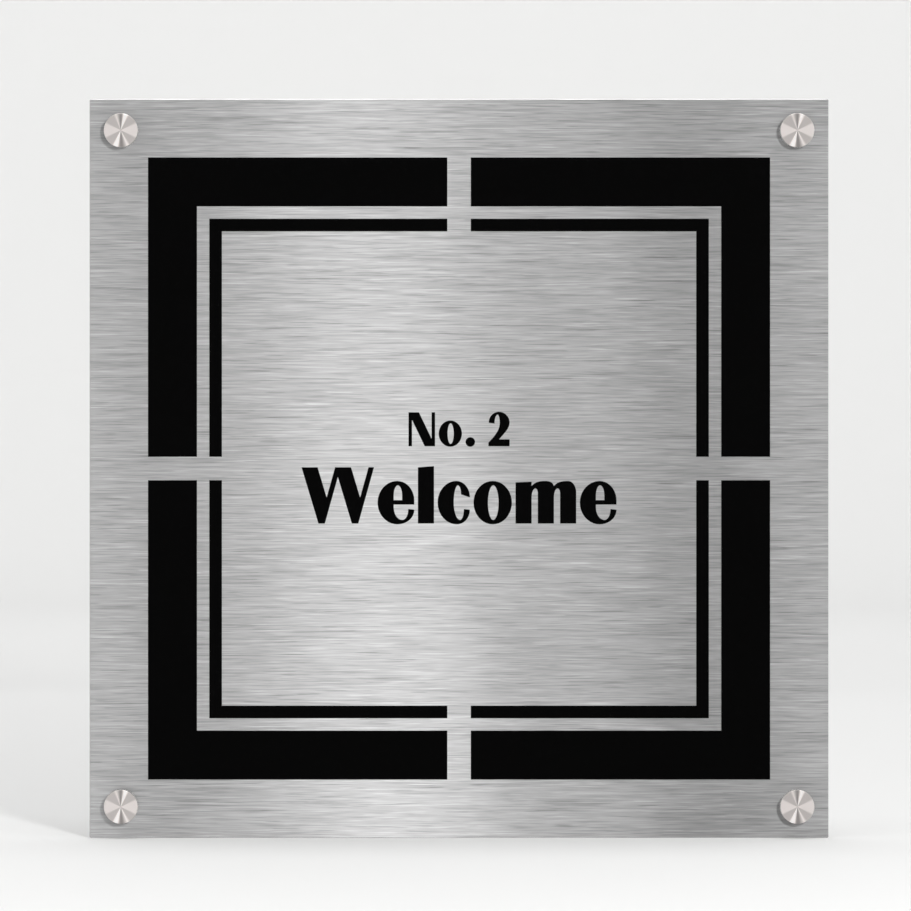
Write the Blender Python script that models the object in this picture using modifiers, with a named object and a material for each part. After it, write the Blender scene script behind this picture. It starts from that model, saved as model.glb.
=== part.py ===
"""A square door name plate: an engraved steel sheet whose border and lettering are filled with black
enamel, held off the wall by four screw-capped stand-offs.

Everything is modelled lying down, seen from the front: x to the right, y up the wall, z out from the
wall. One empty then stands it up, so that the front looks along -Y and the wall is the plane Y = 0.
"""

import math

import bmesh
import bpy
from mathutils import Vector

# Steel sheet
PLATE_SIDE = 0.305
PLATE_THICKNESS = 0.002
PLATE_CORNER_RADIUS = 0.0006
PLATE_EDGE_BREAK = 0.0002

# Engraving and its enamel
BAND_MARGIN = 0.0242  # from the sheet's edge to the broad band
BAND_WIDTH = 0.0200
BAND_TO_LINE = 0.0053
LINE_WIDTH = 0.0050
SPLIT_GAP = 0.0099  # the bare cross that parts the border into four corners
ENAMEL_THICKNESS = 0.0005
ENAMEL_GAP = 0.0002  # between the enamel and its pocket, at the sides and underneath

# Lettering
NUMBER_CAP_HEIGHT = 0.0138
WORD_CAP_HEIGHT = 0.0230
WORD_BASELINE = -0.0226
NUMBER_ABOVE_WORD = 0.0089  # from the top of the word's capital to the number's baseline
LETTER_SPACE = 0.0017
WORD_SPACE = 0.0040

# Stroke weights of the lettering, for a capital one unit tall
STEM = 0.28
HAIRLINE = 0.07
THIN_STROKE = 0.09
SMALL_HEIGHT = 0.74  # height of the small letters
OVERSHOOT = 0.015  # how far a round stroke passes the line that a flat one stops at

# Stand-offs: a cap with a threaded stud, a washer each side of the sheet, and a barrel on the wall
HOLE_INSET = 0.0132
CAP_DIAMETER = 0.0140
CAP_THICKNESS = 0.0040
CAP_CHAMFER = 0.0004
BARREL_DIAMETER = 0.0140
BARREL_LENGTH = 0.0120
BARREL_CHAMFER = 0.0004
BARREL_BASE = 0.0025
WASHER_DIAMETER = 0.0120
WASHER_THICKNESS = 0.0010
SEAT_GAP = 0.0003  # between pieces that rest on each other

# Metric thread of stud and barrel, drawn as plain cylinders either side of its pitch diameter
THREAD_DIAMETER = 0.0080
THREAD_PITCH = 0.00125
THREAD_GAP = 0.0003
STUD_END_CLEARANCE = 0.0025  # from the stud's end to the floor of the barrel
STUD_TIP_CHAMFER = 0.0006
WASHER_BORE_CLEARANCE = 0.0002
PLATE_HOLE_CLEARANCE = 0.00025

# Countersunk wood screw that holds each barrel
SCREW_DIAMETER = 0.0035
SCREW_LENGTH = 0.0300
SCREW_POINT_LENGTH = 0.0050
SCREW_HEAD_RIM = 0.0003
SCREW_HEAD_CLEARANCE = 0.00015  # between the head and the thread that it passes through
SCREW_GAP = 0.0003

ROUND_STEPS = 24
SHARP_ANGLE = math.radians(30)
MERGE_DISTANCE = 0.000001
CURVE_STEPS = 10  # straight pieces to each quarter of an oval
QUARTER_OVAL = 0.5523  # handle length that bends a Bezier span into a quarter of an oval

# A metric thread's pitch and minor diameters are smaller than its own by these shares of its pitch
PITCH_DIAMETER_SHARE = 0.6495
MINOR_DIAMETER_SHARE = 1.0825

POCKET_DEPTH = ENAMEL_THICKNESS + ENAMEL_GAP
THREAD_MIDDLE = THREAD_DIAMETER - PITCH_DIAMETER_SHARE * THREAD_PITCH
BORE_RADIUS = (THREAD_MIDDLE + THREAD_GAP) / 2
STUD_RADIUS = (THREAD_MIDDLE - THREAD_GAP) / 2
SCREW_HEAD_RADIUS = (THREAD_DIAMETER - MINOR_DIAMETER_SHARE * THREAD_PITCH) / 2 - SCREW_HEAD_CLEARANCE
REAR_WASHER_BACK = BARREL_LENGTH + SEAT_GAP
PLATE_BACK = REAR_WASHER_BACK + WASHER_THICKNESS + SEAT_GAP
PLATE_FRONT = PLATE_BACK + PLATE_THICKNESS
FRONT_WASHER_BACK = PLATE_FRONT + SEAT_GAP
CAP_BACK = FRONT_WASHER_BACK + WASHER_THICKNESS + SEAT_GAP
HOLE_OFFSET = PLATE_SIDE / 2 - HOLE_INSET

CORNERS = {"top_left": (-1, 1), "top_right": (1, 1), "bottom_left": (-1, -1), "bottom_right": (1, -1)}

FINISHES = {
    "brushed_steel": ((0.56, 0.56, 0.56), 0.30, 1.0),
    "turned_steel": ((0.70, 0.68, 0.67), 0.22, 1.0),
    "black_enamel": ((0.005, 0.005, 0.005), 0.35, 0.0),
    "clear_plastic": ((0.80, 0.82, 0.80), 0.30, 0.0),
    "zinc_plate": ((0.60, 0.60, 0.56), 0.35, 1.0),
}


class Outline:
    """A closed outline drawn with a pen: straight lines, and sweeps that are each a quarter of an oval."""

    def __init__(self, x, y):
        self.knots = [{"co": Vector((x, y)), "before": None, "after": None}]

    def add(self, x, y, after, before):
        """Adds a span to (x, y); after and before are its two handles, or None on a straight one."""
        self.knots[-1]["after"] = after
        if (self.knots[0]["co"] - Vector((x, y))).length < 1e-6:
            self.knots[0]["before"] = before
        else:
            self.knots.append({"co": Vector((x, y)), "before": before, "after": None})
        return self

    def line(self, x, y):
        return self.add(x, y, None, None)

    def lines(self, *points):
        for x, y in points:
            self.line(x, y)
        return self

    def sweep(self, x, y, leaving):
        """A quarter oval to (x, y), leaving along "x" and arriving along y, or the other way about."""
        start, end = self.knots[-1]["co"], Vector((x, y))
        along = Vector((1, 0)) if leaving == "x" else Vector((0, 1))
        step = end - start
        first = along * step.dot(along) * QUARTER_OVAL
        last = (step - along * step.dot(along)) * QUARTER_OVAL
        return self.add(x, y, start + first, end - last)

    def bend(self, x, y, leave_by, arrive_by):
        """A free curve to (x, y), with its two handles given as steps from its ends."""
        start, end = self.knots[-1]["co"], Vector((x, y))
        return self.add(x, y, start + Vector(leave_by), end - Vector(arrive_by))

    def placed(self, size, x, y):
        shift = Vector((x, y))
        moved = Outline(0, 0)
        moved.knots = [
            {key: None if value is None else value * size + shift for key, value in knot.items()}
            for knot in self.knots
        ]
        return moved


# Letters. Each function returns a letter's outlines and width, for a capital one unit tall.

def oval(left, bottom, right, top):
    middle_x, middle_y = (left + right) / 2, (bottom + top) / 2
    outline = Outline(middle_x, top)
    outline.sweep(right, middle_y, "x").sweep(middle_x, bottom, "y")
    return outline.sweep(left, middle_y, "x").sweep(middle_x, top, "y")


def crossing(x_a, slope_a, x_b, slope_b):
    """Where two slanting edges meet. Each starts at height 1 at x, and moves by slope for each unit down."""
    down = (x_b - x_a) / (slope_a - slope_b)
    return x_a + slope_a * down, 1 - down


def small_o():
    width, counter = 0.68, 0.20
    outer = oval(0, -OVERSHOOT, width, SMALL_HEIGHT + OVERSHOOT)
    left = (width - counter) / 2 + 0.01
    inner = oval(left, HAIRLINE - OVERSHOOT, left + counter, SMALL_HEIGHT + OVERSHOOT - HAIRLINE)
    return [outer, inner], width


def small_c():
    width, middle, top = 0.57, SMALL_HEIGHT / 2, SMALL_HEIGHT + OVERSHOOT
    ball, hook = 0.15, 0.10
    outline = Outline(width, 0.47)
    outline.sweep(0.33, top, "y").sweep(0, middle, "x")
    outline.sweep(0.34, -OVERSHOOT, "y").sweep(width, 0.24, "x")
    outline.line(width - hook, 0.25)
    outline.sweep(0.40, HAIRLINE - OVERSHOOT, "y").sweep(STEM, middle, "x")
    outline.sweep(0.36, top - HAIRLINE, "y").sweep(width - ball, 0.52, "x")
    return [outline.line(width, 0.47)], width


def small_e():
    width, middle, top = 0.65, SMALL_HEIGHT / 2, SMALL_HEIGHT + OVERSHOOT
    bar = middle - 0.03
    counter, hook = 0.16, 0.10
    outline = Outline(width, bar)
    outline.line(width, bar + HAIRLINE)
    outline.sweep(0.35, top, "y").sweep(0, middle, "x")
    outline.sweep(0.35, -OVERSHOOT, "y").sweep(width, 0.24, "x")
    outline.line(width - hook, 0.25)
    outline.sweep(0.44, HAIRLINE - OVERSHOOT, "y").sweep(STEM, bar - 0.05, "x")
    outline.lines((STEM, bar), (width, bar))
    eye = Outline(STEM, bar + HAIRLINE)
    eye.lines((STEM + counter, bar + HAIRLINE), (STEM + counter, 0.50))
    eye.sweep(STEM + counter / 2, top - HAIRLINE, "y").sweep(STEM, 0.50, "x")
    return [outline, eye.line(STEM, bar + HAIRLINE)], width


def small_l():
    return [Outline(0, 0).lines((STEM, 0), (STEM, 1.02), (0, 1.0), (0, 0))], STEM


def small_m():
    counter, spring, valley = 0.12, 0.46, SMALL_HEIGHT - 0.08
    shoulder = 0.14
    step = STEM + counter
    width = 2 * step + STEM
    outline = Outline(0, 0).line(STEM, 0)
    for left in (STEM, STEM + step):
        outline.line(left, spring)
        outline.sweep(left + 0.6 * counter, SMALL_HEIGHT - 0.11, "y").sweep(left + counter, spring + 0.08, "x")
        outline.lines((left + counter, 0), (left + step, 0))
    outline.line(width, SMALL_HEIGHT - 0.19)
    for right in (width, width - step):
        outline.sweep(right - shoulder, SMALL_HEIGHT + OVERSHOOT, "y")
        outline.bend(right - step, valley, (-0.12, 0), (-0.07, -0.08))
    return [outline.lines((STEM, SMALL_HEIGHT), (0, SMALL_HEIGHT - 0.01), (0, 0))], width


def capital_w():
    vee, lean, foot = 0.60, 0.30, 0.11
    rise = vee + THIN_STROKE - lean - foot  # how far the thin stroke leans over its height
    left_eye = crossing(STEM, lean, vee, -rise)
    right_eye = (left_eye[0] + vee, left_eye[1])
    notch = crossing(vee, lean, vee + THIN_STROKE, -rise)
    width = 2 * vee + THIN_STROKE
    outline = Outline(0, 1).lines(
        (STEM, 1), left_eye, (vee, 1), (vee + STEM, 1), right_eye, (2 * vee, 1), (width, 1),
        (width - rise, 0), (vee + lean, 0), notch, (lean + foot, 0), (lean, 0), (0, 1),
    )
    return [outline], width


def capital_n():
    width, thick = 0.78, 0.30
    lean = width - thick
    outline = Outline(0, 0).lines(
        (0, 1), (thick, 1), (width - THIN_STROKE, 1 - (lean - THIN_STROKE) / lean),
        (width - THIN_STROKE, 1), (width, 1), (width, 0), (lean, 0),
        (THIN_STROKE, 1 - THIN_STROKE / lean), (THIN_STROKE, 0), (0, 0),
    )
    return [outline], width


def full_stop():
    width = 0.27
    return [oval(0, -OVERSHOOT, width, width - OVERSHOOT)], width


def figure_two():
    width, base, bowl, top = 0.62, 0.19, 0.70, 1 + OVERSHOOT
    terminal = 0.17
    outline = Outline(0, 0).lines((width, 0), (width, base), (0.30, base))
    outline.bend(width, bowl, (0.10, 0.14), (0, 0.20))
    outline.sweep(0.31, top, "y").sweep(0.01, 0.70, "x")
    outline.line(terminal, 0.68)
    outline.sweep(0.27, top - HAIRLINE, "y").sweep(width - STEM, bowl, "x")
    outline.bend(0, 0.10, (0, -0.22), (-0.20, -0.20))
    return [outline.line(0, 0)], width


NUMBER = (
    ("number_1_N", capital_n), ("number_2_o", small_o), ("number_3_stop", full_stop), None,
    ("number_4_two", figure_two),
)
WORD = (
    ("word_1_W", capital_w), ("word_2_e", small_e), ("word_3_l", small_l), ("word_4_c", small_c),
    ("word_5_o", small_o), ("word_6_m", small_m), ("word_7_e", small_e),
)


def lettering(row, cap_height, baseline):
    """The outlines of a centred row of letters by node name. None in the row is a space."""
    placed, x = {}, 0
    for entry in row:
        if entry is None:
            x += WORD_SPACE
            continue
        name, draw = entry
        outlines, width = draw()
        placed[name] = (outlines, x)
        x += width * cap_height + LETTER_SPACE
    start = -(x - LETTER_SPACE) / 2
    return {
        name: [outline.placed(cap_height, start + left, baseline) for outline in outlines]
        for name, (outlines, left) in placed.items()
    }


def border_corner(side_x, side_y, reach, width):
    """The outline of one L of the border, whose outer corner lies reach from the middle each way."""
    near, inner = SPLIT_GAP / 2, reach - width
    points = [(near, reach), (reach, reach), (reach, near), (inner, near), (inner, inner), (near, inner)]
    points = [(side_x * x, side_y * y) for x, y in points]
    return Outline(*points[0]).lines(*points[1:], points[0])


def engraving():
    """Every engraved shape by the name of the enamel that fills it."""
    band_reach = PLATE_SIDE / 2 - BAND_MARGIN
    line_reach = band_reach - BAND_WIDTH - BAND_TO_LINE
    shapes = {}
    for corner, sides in CORNERS.items():
        shapes[f"border_band_{corner}"] = [border_corner(*sides, band_reach, BAND_WIDTH)]
        shapes[f"border_line_{corner}"] = [border_corner(*sides, line_reach, LINE_WIDTH)]
    shapes.update(lettering(WORD, WORD_CAP_HEIGHT, WORD_BASELINE))
    number_baseline = WORD_BASELINE + WORD_CAP_HEIGHT + NUMBER_ABOVE_WORD
    shapes.update(lettering(NUMBER, NUMBER_CAP_HEIGHT, number_baseline))
    return shapes


# Objects

def finish(name):
    """The material of that name, made the first time that it is asked for."""
    made = bpy.data.materials.get(name)
    if made is None:
        colour, roughness, metallic = FINISHES[name]
        made = bpy.data.materials.new(name)
        made.use_nodes = True
        shader = made.node_tree.nodes["Principled BSDF"]
        shader.inputs["Base Color"].default_value = (*colour, 1)
        shader.inputs["Roughness"].default_value = roughness
        shader.inputs["Metallic"].default_value = metallic
        made.diffuse_color = (*colour, 1)
    return made


def add_object(name, data, collection, parent, location):
    made = bpy.data.objects.new(name, data)
    made.parent = parent
    made.location = location
    collection.objects.link(made)
    return made


def add_cutter(name, mesh, cutters, parent, location):
    made = add_object(name, mesh, cutters, parent, location)
    made.hide_render = True
    made.display_type = "WIRE"
    return made


def baked(name, data, modifiers=()):
    """The mesh that a curve, or a mesh with these (type, settings) modifiers, comes out as. The data is removed."""
    guide = bpy.data.objects.new(name, data)
    bpy.context.scene.collection.objects.link(guide)
    for kind, settings in modifiers:
        modifier = guide.modifiers.new(kind.title(), kind)
        for setting, value in settings.items():
            setattr(modifier, setting, value)
    graph = bpy.context.evaluated_depsgraph_get()
    mesh = bpy.data.meshes.new_from_object(guide.evaluated_get(graph))
    mesh.name = name
    bpy.data.objects.remove(guide)
    kept = bpy.data.curves if isinstance(data, bpy.types.Curve) else bpy.data.meshes
    kept.remove(data)
    return mesh


def flat_curve(name, outlines, thickness, grow):
    """A flat shape of that thickness, centred on z = 0, whose edge lies grow outside its outlines."""
    curve = bpy.data.curves.new(name, "CURVE")
    curve.dimensions = "2D"
    curve.fill_mode = "BOTH"
    curve.resolution_u = CURVE_STEPS
    curve.extrude = thickness / 2
    curve.offset = grow
    for outline in outlines:
        spline = curve.splines.new("BEZIER")
        spline.use_cyclic_u = True
        spline.bezier_points.add(len(outline.knots) - 1)
        for point, knot in zip(spline.bezier_points, outline.knots):
            point.co = (*knot["co"], 0)
            for side, handle in (("left", knot["before"]), ("right", knot["after"])):
                setattr(point, f"handle_{side}_type", "VECTOR" if handle is None else "FREE")
                if handle is not None:
                    setattr(point, f"handle_{side}", (*handle, 0))
    return curve


def turned_mesh(name, material, profile, is_ring=False):
    """A turned piece from its half section of (radius, z), which runs from the axis at its front, down its outer
    side, to the axis at its back. A ring's section is closed instead, and doesn't reach the axis."""
    section = bpy.data.meshes.new(name + "_section")
    edges = [(i, i + 1) for i in range(len(profile) - 1)]
    if is_ring:
        edges.append((len(profile) - 1, 0))
    section.from_pydata([(radius, 0, z) for radius, z in profile], edges, [])
    turn = {
        "steps": ROUND_STEPS, "render_steps": ROUND_STEPS,
        "use_merge_vertices": True, "merge_threshold": MERGE_DISTANCE,
    }
    mesh = baked(name, section, [("SCREW", turn)])
    mesh.shade_smooth()
    mesh.set_sharp_from_angle(angle=SHARP_ANGLE)
    mesh.materials.append(finish(material))
    return mesh


def cutter_mesh(shapes):
    """One mesh of every pocket's cutter, each standing out of the sheet by its own depth."""
    joined = bmesh.new()
    for name, outlines in shapes.items():
        curve = flat_curve(name + "_outline", outlines, 2 * POCKET_DEPTH, ENAMEL_GAP / 2)
        shape = baked(name + "_cutter", curve)
        joined.from_mesh(shape)
        bpy.data.meshes.remove(shape)
    bmesh.ops.remove_doubles(joined, verts=joined.verts, dist=MERGE_DISTANCE)
    for height in (-POCKET_DEPTH, POCKET_DEPTH):  # the flat ends lose the flat triangles between points in line
        flat = [face for face in joined.faces if all(abs(vert.co.z - height) < MERGE_DISTANCE for vert in face.verts)]
        inner = [edge for edge in joined.edges if sum(face in flat for face in edge.link_faces) == 2]
        bmesh.ops.beautify_fill(joined, faces=flat, edges=inner, method="AREA")
    bmesh.ops.recalc_face_normals(joined, faces=joined.faces)
    mesh = bpy.data.meshes.new("pocket_cutters")
    joined.to_mesh(mesh)
    joined.free()
    return mesh


def hole_mesh():
    """A round cutter that runs well past both faces of the sheet."""
    drill = bmesh.new()
    radius = THREAD_DIAMETER / 2 + PLATE_HOLE_CLEARANCE
    bmesh.ops.create_cone(
        drill, cap_ends=True, segments=ROUND_STEPS, radius1=radius, radius2=radius, depth=3 * PLATE_THICKNESS
    )
    mesh = bpy.data.meshes.new("stud_hole_cutter")
    drill.to_mesh(mesh)
    drill.free()
    return mesh


def plate_mesh():
    """The blank sheet, centred, with its corners rounded and the sharp edge of its front taken off."""
    sheet = bmesh.new()
    bmesh.ops.create_cube(sheet, size=1)
    bmesh.ops.scale(sheet, vec=(PLATE_SIDE, PLATE_SIDE, PLATE_THICKNESS), verts=sheet.verts)
    upright = [edge for edge in sheet.edges if abs(edge.verts[0].co.z - edge.verts[1].co.z) > PLATE_THICKNESS / 2]
    bmesh.ops.bevel(
        sheet, geom=upright, offset=PLATE_CORNER_RADIUS, offset_type="OFFSET", segments=3, profile=0.5,
        affect="EDGES",
    )
    front = [edge for edge in sheet.edges if all(vert.co.z > PLATE_THICKNESS / 4 for vert in edge.verts)]
    bmesh.ops.bevel(
        sheet, geom=front, offset=PLATE_EDGE_BREAK, offset_type="OFFSET", segments=1, profile=0.5, affect="EDGES",
    )
    mesh = bpy.data.meshes.new("face_plate")
    sheet.to_mesh(mesh)
    sheet.free()
    mesh.materials.append(finish("brushed_steel"))
    return mesh


def add_plate(shapes, pieces, cutters, parent):
    plate = add_object("face_plate", plate_mesh(), pieces, parent, (0, 0, PLATE_BACK + PLATE_THICKNESS / 2))
    tools = [add_cutter("pocket_cutters", cutter_mesh(shapes), cutters, parent, (0, 0, PLATE_FRONT))]
    drill = hole_mesh()
    for corner, (side_x, side_y) in CORNERS.items():
        place = (side_x * HOLE_OFFSET, side_y * HOLE_OFFSET, plate.location.z)
        tools.append(add_cutter(f"stud_hole_cutter_{corner}", drill, cutters, parent, place))
    for tool in tools:
        cut = plate.modifiers.new(tool.name, "BOOLEAN")
        cut.operation = "DIFFERENCE"
        cut.object = tool


def add_enamel(shapes, pieces, parent):
    """Each pocket's enamel, level with the front of the sheet."""
    place = (0, 0, PLATE_FRONT - ENAMEL_THICKNESS / 2)
    for name, outlines in shapes.items():
        curve = flat_curve(name, outlines, ENAMEL_THICKNESS, -ENAMEL_GAP / 2)
        curve.materials.append(finish("black_enamel"))
        add_object(name, curve, pieces, parent, place)


def cap_profile():
    """The cap and its stud. Its z = 0 is the face that presses on the washer."""
    rim, end = CAP_DIAMETER / 2, -stud_length()
    return [
        (0, CAP_THICKNESS), (rim - CAP_CHAMFER, CAP_THICKNESS), (rim, CAP_THICKNESS - CAP_CHAMFER),
        (rim, 0), (STUD_RADIUS, 0), (STUD_RADIUS, end + STUD_TIP_CHAMFER),
        (STUD_RADIUS - STUD_TIP_CHAMFER, end), (0, end),
    ]


def stud_length():
    barrel_floor = BARREL_BASE + STUD_END_CLEARANCE
    return CAP_BACK - barrel_floor


def washer_profile():
    outer, inner = WASHER_DIAMETER / 2, THREAD_DIAMETER / 2 + WASHER_BORE_CLEARANCE
    return [(outer, WASHER_THICKNESS), (outer, 0), (inner, 0), (inner, WASHER_THICKNESS)]


def barrel_profile():
    """A tube with a closed base, which has a countersunk hole for the wood screw. Its z = 0 is on the wall."""
    outer, hole = BARREL_DIAMETER / 2, SCREW_DIAMETER / 2 + SCREW_GAP
    sink = SCREW_HEAD_RADIUS + SCREW_GAP
    return [
        (BORE_RADIUS, BARREL_LENGTH), (outer - BARREL_CHAMFER, BARREL_LENGTH),
        (outer, BARREL_LENGTH - BARREL_CHAMFER), (outer, BARREL_CHAMFER), (outer - BARREL_CHAMFER, 0),
        (hole, 0), (hole, BARREL_BASE - SCREW_HEAD_RIM - (sink - hole)), (sink, BARREL_BASE - SCREW_HEAD_RIM),
        (sink, BARREL_BASE), (BORE_RADIUS, BARREL_BASE),
    ]


def screw_profile():
    """The countersunk wood screw. Its z = 0 is on the wall, and its head is level with the barrel's floor."""
    shank = SCREW_DIAMETER / 2
    under_head = BARREL_BASE - SCREW_HEAD_RIM
    end = BARREL_BASE - SCREW_LENGTH
    return [
        (0, BARREL_BASE), (SCREW_HEAD_RADIUS, BARREL_BASE), (SCREW_HEAD_RADIUS, under_head),
        (shank, under_head - (SCREW_HEAD_RADIUS - shank)), (shank, end + SCREW_POINT_LENGTH), (0, end),
    ]


def add_standoffs(pieces, parent):
    stack = (
        (turned_mesh("cap_screw", "turned_steel", cap_profile()), CAP_BACK),
        (turned_mesh("front_washer", "clear_plastic", washer_profile(), is_ring=True), FRONT_WASHER_BACK),
        (turned_mesh("rear_washer", "clear_plastic", washer_profile(), is_ring=True), REAR_WASHER_BACK),
        (turned_mesh("barrel", "turned_steel", barrel_profile(), is_ring=True), 0),
        (turned_mesh("wood_screw", "zinc_plate", screw_profile()), 0),
    )
    for corner, (side_x, side_y) in CORNERS.items():
        for mesh, height in stack:
            place = (side_x * HOLE_OFFSET, side_y * HOLE_OFFSET, height)
            add_object(f"{mesh.name}_{corner}", mesh, pieces, parent, place)


def main():
    for old in list(bpy.data.objects):
        bpy.data.objects.remove(old)
    pieces = bpy.data.collections.new("name_plate")
    cutters = bpy.data.collections.new("cutters")
    bpy.context.scene.collection.children.link(pieces)
    bpy.context.scene.collection.children.link(cutters)
    standing = bpy.data.objects.new("wall_side", None)
    standing.rotation_euler = (math.radians(90), 0, 0)
    pieces.objects.link(standing)
    shapes = engraving()
    add_plate(shapes, pieces, cutters, standing)
    add_enamel(shapes, pieces, standing)
    add_standoffs(pieces, standing)


if __name__ == "__main__":
    main()
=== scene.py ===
import math

import bmesh
import bpy
from mathutils import Matrix, Vector


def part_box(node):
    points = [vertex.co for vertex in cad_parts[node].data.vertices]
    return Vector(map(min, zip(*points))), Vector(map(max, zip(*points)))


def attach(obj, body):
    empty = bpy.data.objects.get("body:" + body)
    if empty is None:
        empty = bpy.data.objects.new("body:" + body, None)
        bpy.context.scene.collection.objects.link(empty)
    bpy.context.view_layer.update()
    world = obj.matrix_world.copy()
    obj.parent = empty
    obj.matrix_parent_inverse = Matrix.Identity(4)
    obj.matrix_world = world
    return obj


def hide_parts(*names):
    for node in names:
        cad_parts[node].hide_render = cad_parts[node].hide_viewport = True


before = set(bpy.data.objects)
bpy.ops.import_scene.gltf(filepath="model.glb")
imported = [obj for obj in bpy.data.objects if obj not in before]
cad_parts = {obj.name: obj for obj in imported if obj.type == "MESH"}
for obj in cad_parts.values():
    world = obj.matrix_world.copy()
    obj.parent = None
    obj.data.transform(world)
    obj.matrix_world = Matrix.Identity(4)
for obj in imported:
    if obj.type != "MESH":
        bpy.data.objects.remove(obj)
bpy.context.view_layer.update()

corners = ("top_left", "top_right", "bottom_left", "bottom_right")
mm = 0.001


def cadCopy(node):
    # a copy of a CAD node, with its loose triangles merged into whole faces
    shape = bmesh.new()
    shape.from_mesh(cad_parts[node].data)
    bmesh.ops.remove_doubles(shape, verts=shape.verts, dist=0.002 * mm)
    bmesh.ops.dissolve_limit(
        shape, angle_limit=math.radians(0.2), verts=shape.verts, edges=shape.edges,
        use_dissolve_boundaries=False,
    )
    return shape


def addPiece(name, shape, materials, node, body, sharpAngle=35):
    mesh = bpy.data.meshes.new(name)
    shape.to_mesh(mesh)
    shape.free()
    mesh.shade_smooth()
    mesh.set_sharp_from_angle(angle=math.radians(sharpAngle))
    for material in materials:
        mesh.materials.append(material)
    piece = bpy.data.objects.new(name, mesh)
    bpy.context.scene.collection.objects.link(piece)
    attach(piece, body)
    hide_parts(node)
    return piece


def arc(radius, height, size, start, end, steps=4):
    # points of a rounded corner of a section, about (radius, height), from one angle to another
    turns = [math.radians(start + (end - start) * step / steps) for step in range(steps + 1)]
    return [(radius + size * math.cos(turn), height + size * math.sin(turn)) for turn in turns]


def turned(section, around=96, closed=False):
    # spins a half section of (radius, distance out of the wall) about the piece's axis, which points at -Y
    shape = bmesh.new()
    points = [shape.verts.new((radius, -height, 0)) for radius, height in section]
    edges = [shape.edges.new(pair) for pair in zip(points, points[1:])]
    if closed:
        edges.append(shape.edges.new((points[-1], points[0])))
    bmesh.ops.spin(
        shape, geom=points + edges, cent=(0, 0, 0), axis=(0, 1, 0), angle=math.tau, steps=around,
        use_merge=True,
    )
    bmesh.ops.remove_doubles(shape, verts=shape.verts, dist=0.002 * mm)
    bmesh.ops.recalc_face_normals(shape, faces=shape.faces)
    return shape


def helix(profile, pitch, turns, around=48):
    # winds a right-hand thread's closed profile of (radius, height) outwards from the wall
    shape = bmesh.new()
    points = [shape.verts.new((radius, -height, 0)) for radius, height in profile]
    edges = [shape.edges.new(pair) for pair in zip(points, points[1:] + points[:1])]
    bmesh.ops.spin(
        shape, geom=points + edges, cent=(0, 0, 0), axis=(0, -1, 0), angle=math.tau * turns,
        dvec=(0, -pitch / around, 0), steps=round(around * turns),
    )
    bmesh.ops.holes_fill(shape, edges=shape.edges, sides=0)
    bmesh.ops.recalc_face_normals(shape, faces=shape.faces)
    return shape


def joined(*shapes):
    # several bmeshes made one, each left as its own shell
    for shape in shapes[1:]:
        spare = bpy.data.meshes.new("spare")
        shape.to_mesh(spare)
        shape.free()
        shapes[0].from_mesh(spare)
        bpy.data.meshes.remove(spare)
    return shapes[0]


class Wire:
    # an output socket that takes part in Python arithmetic
    def __init__(self, finish, socket):
        self.finish = finish
        self.socket = socket

    def math(self, operation, *others):
        return self.finish.math(operation, self, *others)

    def __add__(self, other):
        return self.math("ADD", other)

    def __sub__(self, other):
        return self.math("SUBTRACT", other)

    def __rsub__(self, other):
        return self.finish.math("SUBTRACT", other, self)

    def __mul__(self, other):
        return self.math("MULTIPLY", other)

    def __truediv__(self, other):
        return self.math("DIVIDE", other)

    def __pow__(self, other):
        return self.math("POWER", other)

    __radd__ = __add__
    __rmul__ = __mul__

    def step(self, low, high):
        # 0 up to low, 1 from high, and smooth between
        settings = {"interpolation_type": "SMOOTHSTEP", "clamp": True}
        return self.finish.node("MapRange", settings, {"Value": self, "From Min": low, "From Max": high})


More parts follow.
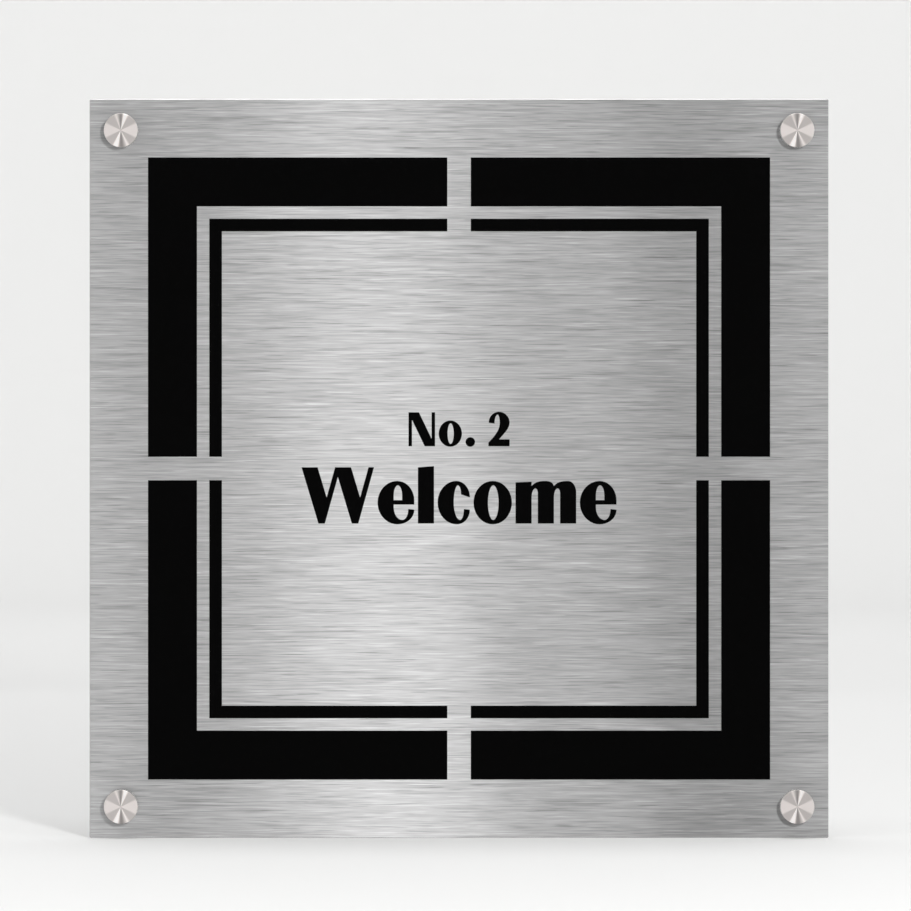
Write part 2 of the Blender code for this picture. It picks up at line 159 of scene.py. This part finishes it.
class Finish:
    # a material with one Principled shader, and the nodes that lead to it
    def __init__(self, name, **constants):
        self.material = bpy.data.materials.new(name)
        self.material.use_nodes = True
        self.tree = self.material.node_tree
        self.shader = self.tree.nodes["Principled BSDF"]
        self.feed(self.shader, constants)
        self.place = self.node("TexCoord", output="Object")

    def feed(self, node, inputs):
        for key, value in inputs.items():
            socket = node.inputs[key]
            if isinstance(value, Wire):
                self.tree.links.new(value.socket, socket)
            else:
                socket.default_value = value

    def node(self, kind, settings=None, inputs=None, output=0):
        made = self.tree.nodes.new("ShaderNode" + kind)
        settings = dict(settings or {})
        stops = settings.pop("stops", None)
        for key, value in settings.items():
            setattr(made, key, value)
        if stops:
            self.addStops(made.color_ramp, stops)
        self.feed(made, inputs or {})
        return Wire(self, made.outputs[output])

    def addStops(self, ramp, stops):
        while len(ramp.elements) < len(stops):
            ramp.elements.new(1)
        for element, (position, level) in zip(ramp.elements, stops):
            element.position = position
            element.color = (level, level, level, 1)

    def math(self, operation, *values):
        return self.node("Math", {"operation": operation}, dict(enumerate(values)))

    def axes(self):
        node = self.node("SeparateXYZ", None, {0: self.place})
        outputs = node.socket.node.outputs
        return [Wire(self, outputs[axis]) for axis in "XYZ"]

    def stretched(self, sizes, vector=None):
        # coordinates in which one unit is that size along X, Y and Z
        scale = [1 / size for size in sizes]
        settings = {"vector_type": "POINT"}
        return self.node("Mapping", settings, {"Vector": vector or self.place, "Scale": scale})

    def noise(self, sizes, detail=2.0, roughness=0.5, offset=0.0, vector=None):
        # smooth noise from 0 to 1 with grains of that size
        inputs = {
            "Vector": self.stretched(sizes, vector), "W": offset, "Scale": 1.0, "Detail": detail,
            "Roughness": roughness,
        }
        return self.node("TexNoise", {"noise_dimensions": "4D"}, inputs, output="Fac")

    def mix(self, factor, first, second):
        # the first colour at 0, the second at 1
        settings = {"data_type": "RGBA", "clamp_factor": True}
        return self.node("Mix", settings, {0: factor, 6: first, 7: second}, output=2)

    def tinted(self, colour, amount):
        # a colour made lighter or darker by a number around 1
        return self.node("VectorMath", {"operation": "SCALE"}, {0: colour[:3], "Scale": amount})

    def bump(self, height, distance, strength=1.0):
        return self.node("Bump", None, {"Height": height, "Distance": distance, "Strength": strength})

    def surface(self, **inputs):
        names = {"colour": "Base Color", "roughness": "Roughness", "metallic": "Metallic", "normal": "Normal"}
        self.feed(self.shader, {names[key]: value for key, value in inputs.items()})
        return self.material


brushing = {
    "colour": (0.62, 0.62, 0.62),
    # each layer of brush marks: usual length, width, share of the contrast
    "layers": (
        (38 * mm, 0.43 * mm, 1.0), (15 * mm, 0.35 * mm, 0.55), (80 * mm, 0.74 * mm, 0.5),
        (10 * mm, 0.11 * mm, 0.55),
    ),
    "contrast": 0.64,
    "roughness": 0.155,
    "anisotropy": 0.95,
    "metal": 0.68,
}


def brushMarks(finish, length, width, seed):
    # rows of marks along X: every row is its own stretch of a noise, from 0 to 1
    x, _, z = finish.axes()
    row = (z / width + seed).math("FLOOR")
    luck = finish.node("TexWhiteNoise", {"noise_dimensions": "1D"}, {"W": row})
    inputs = {"W": x / length + luck * 900, "Scale": 1.0, "Detail": 1.0, "Roughness": 0.5}
    return finish.node("TexNoise", {"noise_dimensions": "1D"}, inputs)


def brushedSteel():
    finish = Finish("brushedSteel", Anisotropic=brushing["anisotropy"], **{"Anisotropic Rotation": 0.25})
    total = 0
    for seed, (length, width, share) in enumerate(brushing["layers"]):
        marks = brushMarks(finish, length, width, 11.3 * seed)
        total = total + (marks - 0.5) * share
    cloud = finish.noise((60 * mm, 1, 7 * mm), detail=2, offset=11)
    deep = brushMarks(finish, 28 * mm, 0.38 * mm, 5.7)
    scratch = deep.step(0.65, 0.75) * 0.17 - (1 - deep).step(0.66, 0.76) * 0.18
    level = 1 + total * brushing["contrast"] + (cloud - 0.5) * 0.16 + scratch
    colour = finish.tinted(brushing["colour"], level)
    roughness = brushing["roughness"] + total * 0.03
    normal = finish.bump(total, 0.004 * mm, 0.2)
    return finish.surface(colour=colour, roughness=roughness, metallic=brushing["metal"], normal=normal)


def millSteel():
    # the rolled back of the sheet: faint upright rolling lines, milky clouds and a few fine scratches
    finish = Finish("millSteel")
    cloud = finish.noise((26 * mm, 1, 34 * mm), detail=4, roughness=0.6)
    rolling = finish.noise((0.9 * mm, 1, 60 * mm), detail=3, roughness=0.6, offset=5)
    bands = finish.noise((9 * mm, 1, 400 * mm), detail=2, offset=7)
    nick = 0
    for turn in (0.62, -0.95):
        slant = finish.node("Mapping", None, {"Vector": finish.place, "Rotation": (0, turn, 0)})
        long = finish.noise((0.22 * mm, 1, 16 * mm), detail=0, offset=turn, vector=slant)
        nick = nick + long.step(0.76, 0.82)
    level = 1 + (cloud - 0.5) * 0.34 + (rolling - 0.5) * 0.24 + (bands - 0.5) * 0.24 + nick * 0.10
    colour = finish.tinted((0.60, 0.60, 0.595), level)
    roughness = 0.33 + (cloud - 0.5) * 0.20
    normal = finish.bump(rolling + nick * 0.5, 0.008 * mm, 0.4)
    return finish.surface(colour=colour, roughness=roughness, metallic=0.92, normal=normal)


def cutEdge():
    finish = Finish("cutEdge")
    lines = finish.noise((0.22 * mm, 3 * mm, 0.22 * mm), detail=2)
    heat = finish.noise((15 * mm, 0.9 * mm, 15 * mm), detail=1, offset=4)
    level = 1 + (lines - 0.5) * 0.35
    steel = finish.tinted((0.46, 0.46, 0.46), level)
    colour = finish.mix(heat.step(0.45, 0.75), steel, (0.34, 0.31, 0.27, 1))
    normal = finish.bump(lines, 0.03 * mm, 0.7)
    return finish.surface(colour=colour, roughness=0.36 + (lines - 0.5) * 0.2, metallic=0.95, normal=normal)


def blackEnamel():
    finish = Finish("blackEnamel", **{"Specular IOR Level": 0.02})
    peel = finish.noise((1.6 * mm, 1.6 * mm, 1.6 * mm), detail=2)
    speck = finish.noise((0.35 * mm, 0.35 * mm, 0.35 * mm), detail=1, offset=9)
    colour = finish.mix(speck.step(0.66, 0.80), (0.0012, 0.0012, 0.0012, 1), (0.004, 0.004, 0.004, 1))
    roughness = 0.40 + (peel - 0.5) * 0.12
    normal = finish.bump(peel, 0.02 * mm, 0.35)
    return finish.surface(colour=colour, roughness=roughness, metallic=0.0, normal=normal)


capShine = {
    "colour": (0.94, 0.875, 0.85),
    "level": 0.66,
    # painted highlights and painted shade: bright wedge-shaped reflections and dark wedge-shaped shade, as a
    # turned face shows them, painted into its colour; each: degrees anticlockwise from the right, half the
    # width, and how much it adds to the level (below 0 for the painted shade)
    "paintedWedges": (
        (0, 26, 0.30), (180, 26, 0.30), (73, 8, 0.62), (108, 4, 0.34), (252, 9, 0.72), (295, 5, 0.45),
        (90, 7, -0.30), (273, 8, -0.30),
    ),
    "softEdge": 6,
    "groove": 0.11 * mm,
}


def aroundCap(finish):
    # a cap's own coordinates: along X and Z from its middle, the same way up in every corner
    low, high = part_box("cap_screw_top_right")
    offset = (low + high) / 2
    x, _, z = finish.axes()
    return x - x.math("SIGN") * offset.x, z - z.math("SIGN") * offset.z


def turnedFace():
    finish = Finish("turnedFace")
    fromX, fromZ = aroundCap(finish)
    angle = fromZ.math("ARCTAN2", fromX) * (180 / math.pi)
    radius = (fromX * fromX + fromZ * fromZ) ** 0.5
    level = capShine["level"]
    soft = capShine["softEdge"]
    # painted reflection and painted shade: each wedge of light or shade is painted into the base colour
    # around the cap's middle
    for middle, half, strength in capShine["paintedWedges"]:
        # how far round from the wedge's middle, from 0 to 180
        apart = ((angle - (middle - 540)).math("MODULO", 360) - 180).math("ABSOLUTE")
        level = level + (1 - apart.step(half - soft, half + soft)) * strength
    rings = finish.noise((0.12 * mm, 0.12 * mm, 0.12 * mm), detail=1)
    groove = (radius * (math.tau / capShine["groove"])).math("SINE")
    level = level * (1 + groove * 0.03)
    colour = finish.tinted(capShine["colour"], level)
    normal = finish.bump(groove + rings * 0.2, 0.004 * mm, 0.6)
    return finish.surface(colour=colour, roughness=0.30, metallic=0.62, normal=normal)


def turnedSide():
    finish = Finish("turnedSide")
    rings = finish.noise((5 * mm, 0.09 * mm, 5 * mm), detail=2)
    cloud = finish.noise((4 * mm, 3 * mm, 4 * mm), detail=2, offset=5)
    level = 1 + (rings - 0.5) * 0.35 + (cloud - 0.5) * 0.10
    colour = finish.tinted((0.66, 0.645, 0.63), level)
    normal = finish.bump(rings, 0.01 * mm, 0.7)
    return finish.surface(colour=colour, roughness=0.27 + (rings - 0.5) * 0.1, metallic=0.95, normal=normal)


def threadSteel():
    finish = Finish("threadSteel")
    grease = finish.noise((1.5 * mm, 1.5 * mm, 1.5 * mm), detail=3)
    level = 1 + (grease - 0.5) * 0.5
    colour = finish.tinted((0.48, 0.47, 0.455), level)
    normal = finish.bump(finish.noise((0.2 * mm, 0.2 * mm, 0.2 * mm), detail=1, offset=2), 0.008 * mm, 0.5)
    return finish.surface(colour=colour, roughness=0.30 + (grease - 0.5) * 0.2, metallic=0.95, normal=normal)


def clearPlastic():
    finish = Finish("clearPlastic", IOR=1.5, **{"Transmission Weight": 0.55, "Specular IOR Level": 0.5})
    haze = finish.noise((0.9 * mm, 0.9 * mm, 0.9 * mm), detail=3)
    colour = finish.mix(haze, (0.78, 0.80, 0.79, 1), (0.90, 0.91, 0.90, 1))
    normal = finish.bump(haze, 0.01 * mm, 0.4)
    return finish.surface(colour=colour, roughness=0.30 + (haze - 0.5) * 0.25, metallic=0.0, normal=normal)


def zincPlate():
    finish = Finish("zincPlate")
    bloom = finish.noise((1.2 * mm, 2.4 * mm, 1.2 * mm), detail=4, roughness=0.6)
    tint = finish.noise((2.6 * mm, 4 * mm, 2.6 * mm), detail=1, offset=8)
    pale = finish.mix(tint.step(0.35, 0.65), (0.62, 0.64, 0.66, 1), (0.66, 0.64, 0.56, 1))
    colour = finish.mix((bloom - 0.35) * 0.9, pale, (0.44, 0.45, 0.45, 1))
    normal = finish.bump(bloom, 0.012 * mm, 0.5)
    return finish.surface(colour=colour, roughness=0.32 + (bloom - 0.5) * 0.3, metallic=0.92, normal=normal)


def paleFloor():
    finish = Finish("paleFloor")
    return finish.surface(colour=(0.80, 0.80, 0.795, 1), roughness=0.9)


finishes = {
    make.__name__: make()
    for make in (
        brushedSteel, millSteel, cutEdge, blackEnamel, turnedFace, turnedSide, threadSteel, clearPlastic,
        zincPlate, paleFloor,
    )
}
print("finishes:", ", ".join(finishes))


sheet = {
    "edgeRounding": 0.12 * mm,
    "margin": 0.3 * mm,  # a point this near the sheet's outline is on its edge
}


def buildSheet():
    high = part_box("face_plate")[1]
    shape = cadCopy("face_plate")

    def onEdge(point):
        return max(abs(point.x) - high.x, abs(point.z) - high.z) > -sheet["margin"]

    outline = [
        edge for edge in shape.edges
        if all(onEdge(vert.co) for vert in edge.verts) and edge.calc_face_angle(0) > math.radians(30)
    ]
    bmesh.ops.bevel(
        shape, geom=outline, offset=sheet["edgeRounding"], offset_type="OFFSET", segments=3, profile=0.5,
        affect="EDGES", material=-1, clamp_overlap=True,
    )
    for face in shape.faces:
        middle = face.calc_center_median()
        if face.normal.y > 0.9 and middle.y > high.y - sheet["margin"]:
            face.material_index = 1
        elif abs(face.normal.y) < 0.5 and onEdge(middle):
            face.material_index = 2
    materials = [finishes["brushedSteel"], finishes["millSteel"], finishes["cutEdge"]]
    addPiece("steelSheet", shape, materials, "face_plate", "plate", sharpAngle=3)


buildSheet()
print("steel sheet done")


enamel = {
    "gap": 0.004 * mm,  # to the pocket's walls
    "rim": 0.012 * mm,  # how far it lies behind its node's front at the walls
    "sunk": 0.05 * mm,  # and in the middle
    "rings": ((0.05 * mm, 0.65), (0.09 * mm, 1.0)),  # each step of the slope: its width, and how much is done
    "bottomGap": 0.05 * mm,
    "leastDepth": 0.1 * mm,  # a face this far behind the sheet's front is a pocket's floor
}


def pocketFloors():
    # the floor of every engraved pocket as one mesh, and each pocket's limits with its faces' numbers
    shape = cadCopy("face_plate")
    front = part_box("face_plate")[0].y
    rest = [
        face for face in shape.faces
        if face.normal.y > -0.9 or abs(face.calc_center_median().y - front) < enamel["leastDepth"]
    ]
    bmesh.ops.delete(shape, geom=rest, context="FACES")
    shape.faces.index_update()
    pockets = []
    waiting = set(shape.faces)
    while waiting:
        pocket = newest = {waiting.pop()}
        while newest:
            newest = {near for face in newest for edge in face.edges for near in edge.link_faces} & waiting
            waiting -= newest
            pocket = pocket | newest
        places = [vert.co for face in pocket for vert in face.verts]
        limits = [limit(place[axis] for place in places) for limit in (min, max) for axis in (0, 2)]
        pockets.append((limits, {face.index for face in pocket}))
    return shape, pockets


def buildEnamel(node, floors, pockets):
    low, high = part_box(node)
    wanted = (low.x, low.z, high.x, high.z)

    def misfit(pocket):
        return sum(abs(limit - goal) for limit, goal in zip(pocket[0], wanted))

    own = min(pockets, key=misfit)[1]
    shape = floors.copy()
    others = [face for face in shape.faces if face.index not in own]
    bmesh.ops.delete(shape, geom=others, context="FACES")
    floor = min(vert.co.y for vert in shape.verts)
    front = shape.faces[:]
    spare = bmesh.ops.inset_region(
        shape, faces=front, thickness=enamel["gap"], use_boundary=True, use_even_offset=True,
    )
    bmesh.ops.delete(shape, geom=spare["faces"], context="FACES")
    for vert in shape.verts:
        vert.co.y = low.y + enamel["rim"]
    for width, share in enamel["rings"]:
        known = set(shape.verts)
        bmesh.ops.inset_region(shape, faces=front, thickness=width, use_boundary=True, use_even_offset=True)
        for vert in shape.verts:
            if vert not in known:
                vert.co.y = low.y + enamel["rim"] + share * (enamel["sunk"] - enamel["rim"])
    back = bmesh.ops.extrude_face_region(shape, geom=shape.faces[:])
    for item in back["geom"]:
        if isinstance(item, bmesh.types.BMVert):
            item.co.y = floor - enamel["bottomGap"]
    bmesh.ops.recalc_face_normals(shape, faces=shape.faces)
    addPiece("enamel_" + node, shape, [finishes["blackEnamel"]], node, "plate", sharpAngle=4)


enamelNodes = [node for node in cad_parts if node.startswith(("border_", "word_", "number_"))]
floors, pockets = pocketFloors()
for node in enamelNodes:
    buildEnamel(node, floors, pockets)
floors.free()
print("enamel done:", len(enamelNodes), "pieces")


def middleOf(node):
    # a turned piece's axis, and how far out of the wall its back and its front are
    low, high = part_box(node)
    return Vector(((low.x + high.x) / 2, 0, (low.z + high.z) / 2)), -high.y, -low.y


capScrew = {
    "rimRounding": 0.35 * mm,
    "backRounding": 0.15 * mm,
    "groovePitch": 0.30 * mm,
    "grooveDepth": 0.012 * mm,
    "headThickness": 4 * mm,
    "threadMajor": 3.93 * mm,
    "threadMinor": 3.32 * mm,
    "pitch": 1.25 * mm,
    "neck": 0.8 * mm,
    "tipChamfer": 0.7 * mm,
    "threadRoot": 0.1 * mm,  # how deep the thread's own shell runs into the stud
    "runOut": 0.9,  # how steeply the thread rises at its two ends
    "slack": 0.02 * mm,  # a face this far behind the head's underside belongs to the stud
}


def buildCap(corner):
    node = "cap_screw_" + corner
    low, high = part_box(node)
    centre, tip, front = middleOf(node)
    rim = (high.x - low.x) / 2
    size = capScrew
    back = front - size["headThickness"]
    rounding = size["rimRounding"]
    face = []
    grooves = int((rim - rounding) / size["groovePitch"])
    for step in range(4 * grooves):
        radius = step * size["groovePitch"] / 4
        ripple = (0, 0.7, 1, 0.7)[step % 4] * size["grooveDepth"]
        face.append((radius, front - ripple))
    section = face + arc(rim - rounding, front - rounding, rounding, 90, 0, 6)
    section += arc(rim - size["backRounding"], back + size["backRounding"], size["backRounding"], 0, -90, 3)
    minor, major, pitch = size["threadMinor"], size["threadMajor"], size["pitch"]
    chamfer = size["tipChamfer"]
    section += [(minor, back), (minor, tip + chamfer / 2), (minor - chamfer, tip), (0, tip)]
    body = turned(section)
    sunk = minor - size["threadRoot"]
    profile = [
        (sunk, 0.03 * pitch), (minor, 0.1 * pitch), (major, 0.44 * pitch),
        (major, 0.56 * pitch), (minor, 0.9 * pitch), (sunk, 0.97 * pitch),
    ]
    turns = (back - size["neck"] - tip) / pitch - 1
    thread = helix(profile, pitch, turns)
    bmesh.ops.translate(thread, vec=(0, -tip, 0), verts=thread.verts)
    for vert in thread.verts:
        reach = math.hypot(vert.co.x, vert.co.z)
        fromTip = -vert.co.y - tip
        fromNeck = back - size["neck"] + vert.co.y
        most = minor - size["threadRoot"] / 2 + size["runOut"] * max(0.0, min(fromTip, fromNeck))
        if reach > most:
            vert.co.x *= most / reach
            vert.co.z *= most / reach
    for item in body.faces:
        middle = item.calc_center_median()
        if -middle.y < back - size["slack"]:
            item.material_index = 2
        elif item.normal.y > 0.6:
            item.material_index = 1
        elif abs(item.normal.y) < 0.6 and math.hypot(middle.x, middle.z) > rim - rounding:
            item.material_index = 1
    for item in thread.faces:
        item.material_index = 2
    shape = joined(body, thread)
    bmesh.ops.translate(shape, vec=centre, verts=shape.verts)
    materials = [finishes["turnedFace"], finishes["turnedSide"], finishes["threadSteel"]]
    addPiece("capScrew_" + corner, shape, materials, node, "cap_" + corner, sharpAngle=40)


washer = {"rounding": 0.22 * mm, "hole": 4.2 * mm}


def buildWasher(corner, side):
    node = f"{side}_washer_{corner}"
    low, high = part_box(node)
    centre, back, front = middleOf(node)
    outer, inner = (high.x - low.x) / 2, washer["hole"]
    size = washer["rounding"]
    section = arc(outer - size, front - size, size, 90, 0) + arc(outer - size, back + size, size, 0, -90)
    section += arc(inner + size, back + size, size, 270, 180) + arc(inner + size, front - size, size, 180, 90)
    shape = turned(section, around=64, closed=True)
    bmesh.ops.translate(shape, vec=centre, verts=shape.verts)
    body = "washer_" + corner if side == "front" else "plate"
    addPiece(f"{side}Washer_{corner}", shape, [finishes["clearPlastic"]], node, body)


barrel = {
    "rounding": 0.35 * mm,
    "bore": 4.05 * mm,
    "base": 2.5 * mm,
    "hole": 2.05 * mm,
    "sink": 3.48 * mm,
    "sinkRim": 0.3 * mm,
}


def buildBarrel(corner):
    node = "barrel_" + corner
    low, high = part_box(node)
    centre, back, front = middleOf(node)
    outer = (high.x - low.x) / 2
    size = barrel["rounding"]
    base = back + barrel["base"]
    sinkTop = base - barrel["sinkRim"]
    sinkBottom = sinkTop - (barrel["sink"] - barrel["hole"])
    section = [(barrel["bore"], front - size)] + arc(barrel["bore"] + size, front - size, size, 180, 90)
    section += arc(outer - size, front - size, size, 90, 0)
    section += arc(outer - size, back + size, size, 0, -90)
    section += [
        (barrel["hole"], back), (barrel["hole"], sinkBottom),
        (barrel["sink"], sinkTop), (barrel["sink"], base), (barrel["bore"], base),
    ]
    shape = turned(section, closed=True)
    bmesh.ops.translate(shape, vec=centre, verts=shape.verts)
    addPiece("barrel_" + corner + "_turned", shape, [finishes["turnedSide"]], node, "plate")


woodScrew = {
    "shank": 1.28 * mm,
    "core": 1.12 * mm,
    "major": 1.75 * mm,
    "pitch": 1.7 * mm,
    "plainLength": 6 * mm,  # of the shank, under the head
    "pointLength": 5 * mm,
    "headRim": 0.3 * mm,
    "headChamfer": 0.08 * mm,
    "threadRoot": 0.3 * mm,  # how deep the thread's own shell runs into the core
    "tipRadius": 0.05 * mm,
}


def buildWoodScrew(corner):
    node = "wood_screw_" + corner
    low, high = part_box(node)
    centre, tip, top = middleOf(node)
    size = woodScrew
    head = (high.x - low.x) / 2
    under = top - size["headRim"]
    neck = under - (head - size["shank"])
    threadTop = neck - size["plainLength"]
    core, major, pitch = size["core"], size["major"], size["pitch"]
    chamfer = size["headChamfer"]
    section = [(0, top), (head - chamfer, top), (head, top - chamfer), (head, under), (size["shank"], neck)]
    section += [(size["shank"], threadTop + 0.4 * mm), (core, threadTop)]
    section += [(core, tip + size["pointLength"]), (size["tipRadius"], tip), (0, tip)]
    body = turned(section, around=48)
    sunk = core - size["threadRoot"]
    profile = [
        (sunk, 0), (core, 0.12 * pitch), (major, 0.40 * pitch),
        (major, 0.46 * pitch), (core, 0.66 * pitch), (sunk, 0.8 * pitch),
    ]
    turns = (threadTop - tip) / pitch - 0.6
    thread = helix(profile, pitch, turns, around=32)
    bmesh.ops.translate(thread, vec=(0, -tip, 0), verts=thread.verts)
    for vert in thread.verts:
        # the thread narrows with the point
        fromTip = -vert.co.y - tip
        share = min(1.0, 0.06 + fromTip / size["pointLength"])
        vert.co.x *= share
        vert.co.z *= share
    shape = joined(body, thread)
    bmesh.ops.translate(shape, vec=centre, verts=shape.verts)
    addPiece("woodScrew_" + corner, shape, [finishes["zincPlate"]], node, "plate")


for corner in corners:
    buildCap(corner)
    buildWasher(corner, "front")
    buildWasher(corner, "rear")
    buildBarrel(corner)
    buildWoodScrew(corner)
print("stand-offs done")


studio = {
    "floorRadius": 4.6,
    "bend": 1.4,
    "wallHeight": 3.2,
    "world": 0.42,
}


def buildFloor():
    # a round floor that bends up into a wall on every side
    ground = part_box("face_plate")[0].z
    bend, radius = studio["bend"], studio["floorRadius"]
    section = [(0, ground)]
    section += [
        (radius - bend + bend * math.sin(turn), ground + bend - bend * math.cos(turn))
        for turn in (math.radians(6 * step) for step in range(16))
    ]
    section.append((radius, ground + studio["wallHeight"]))
    shape = bmesh.new()
    points = [shape.verts.new((across, 0, height)) for across, height in section]
    edges = [shape.edges.new(pair) for pair in zip(points, points[1:])]
    bmesh.ops.spin(
        shape, geom=points + edges, cent=(0, 0, 0), axis=(0, 0, 1), angle=math.tau, steps=96,
        use_merge=True,
    )
    bmesh.ops.remove_doubles(shape, verts=shape.verts, dist=mm)
    mesh = bpy.data.meshes.new("floor")
    shape.to_mesh(mesh)
    shape.free()
    mesh.shade_smooth()
    mesh.materials.append(finishes["paleFloor"])
    floor = bpy.data.objects.new("floor", mesh)
    floor.visible_glossy = False  # the card stands in for it in the brushed face
    bpy.context.scene.collection.objects.link(floor)


# pale cards that show only in reflections, shaded from side to side: the front one gives the brushed face its
# upright bands
cardPeak = 2  # the brightest shade that a card can have
cards = {
    "frontCard": {
        "distance": -1.0,
        "height": 1.7,
        "halfWidth": 0.45,
        "fade": 1.0,  # the share of its light that it loses in each metre upwards from its middle
        "slant": 0.035,  # how far its bands lean to the left in each metre upwards
        # distance from the middle and how bright it is there: a grey left side, a narrow dip at the sheet's
        # left edge, the broad bright band, a grey step, the black gap and the darker right side
        "shades": (
            (-0.45, 0.35), (-0.21, 0.35), (-0.19, 0.15), (-0.12, 0.40), (-0.09, 0.70), (-0.05, 0.80),
            (-0.02, 0.75), (0.03, 0.30), (0.10, 0.25), (0.12, 0.0), (0.17, 0.0), (0.20, 0.20), (0.45, 0.15),
        ),
    },
    "rearCard": {
        "distance": 1.3,
        "height": 2.0,
        "halfWidth": 0.9,
        "fade": -0.35,
        "slant": 0,
        "shades": (
            (-0.9, 0.50), (-0.45, 0.62), (-0.2, 0.95), (0.0, 0.90), (0.25, 0.55), (0.55, 0.75), (0.9, 0.5),
        ),
    },
}


def shadedCard(name, card):
    half = card["halfWidth"]
    finish = Finish(name, Roughness=1.0, **{"Emission Strength": 1.0, "Base Color": (0, 0, 0, 1)})
    x, _, z = finish.axes()
    stops = [((across + half) / (2 * half), level / cardPeak) for across, level in card["shades"]]
    across = (x + z * card["slant"] + half) / (2 * half)
    shade = finish.node("ValToRGB", {"stops": stops}, {"Fac": across})
    level = cardPeak * (1 - z * card["fade"])
    glow = finish.node("VectorMath", {"operation": "SCALE"}, {0: shade, "Scale": level})
    finish.feed(finish.shader, {"Emission Color": glow})
    return finish.material


def buildCard(name, card):
    shape = bmesh.new()
    bmesh.ops.create_grid(shape, x_segments=1, y_segments=1, size=0.5)
    bmesh.ops.rotate(shape, cent=(0, 0, 0), matrix=Matrix.Rotation(math.pi / 2, 3, "X"), verts=shape.verts)
    bmesh.ops.scale(shape, vec=(2 * card["halfWidth"], 1, card["height"]), verts=shape.verts)
    bmesh.ops.translate(shape, vec=(0, card["distance"], 0), verts=shape.verts)
    mesh = bpy.data.meshes.new(name)
    shape.to_mesh(mesh)
    shape.free()
    mesh.materials.append(shadedCard(name, card))
    made = bpy.data.objects.new(name, mesh)
    made.visible_camera = made.visible_diffuse = made.visible_shadow = False
    bpy.context.scene.collection.objects.link(made)


# each light: its place, size, power and the point it faces
lights = {
    "keyLight": ((0.62, -2.2, 0.50), (0.24, 0.24), 46, (0, 0, 0)),
    "topLight": ((0, -0.1, 3.0), (2.2, 2.2), 48, (0, 0, 0)),
    "backLight": ((0, 2.2, 2.4), (3.2, 1.2), 30, (0, 5.0, 0.1)),
    "leftLight": ((-2.2, 0, 2.4), (1.2, 3.2), 30, (-5.0, 0, 0.1)),
    "rightLight": ((2.2, 0, 2.4), (1.2, 3.2), 30, (5.0, 0, 0.1)),
}


def addLight(name, place, size, power, target):
    data = bpy.data.lights.new(name, "AREA")
    data.shape = "RECTANGLE"
    data.size, data.size_y = size
    data.energy = power
    light = bpy.data.objects.new(name, data)
    light.location = place
    light.rotation_euler = (Vector(target) - Vector(place)).to_track_quat("-Z", "Y").to_euler()
    light.visible_camera = False
    light.visible_glossy = name != "keyLight"  # it would glare in the caps' rims
    bpy.context.scene.collection.objects.link(light)


def lightStudio():
    world = bpy.data.worlds.new("studio")
    world.use_nodes = True
    background = world.node_tree.nodes["Background"]
    background.inputs["Color"].default_value = (1, 1, 1, 1)
    background.inputs["Strength"].default_value = studio["world"]
    bpy.context.scene.world = world
    for name, settings in lights.items():
        addLight(name, *settings)


# the camera's lens in mm, how much it takes in at the sheet's front, and where it aims
view = {"lens": 200, "width": 376.06 * mm, "fromMiddle": (-1.47 * mm, 5.37 * mm)}


def addCamera():
    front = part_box("face_plate")[0].y
    data = bpy.data.cameras.new("camera")
    data.lens = view["lens"]
    data.sensor_width = 36
    data.clip_end = 50
    camera = bpy.data.objects.new("camera", data)
    away = view["width"] * view["lens"] / data.sensor_width
    camera.location = (view["fromMiddle"][0], front - away, view["fromMiddle"][1])
    camera.rotation_euler = (math.pi / 2, 0, 0)
    bpy.context.scene.collection.objects.link(camera)
    bpy.context.scene.camera = camera


buildFloor()
for name, card in cards.items():
    buildCard(name, card)
lightStudio()
addCamera()
bpy.context.scene.view_settings.view_transform = "Standard"
print("studio done")
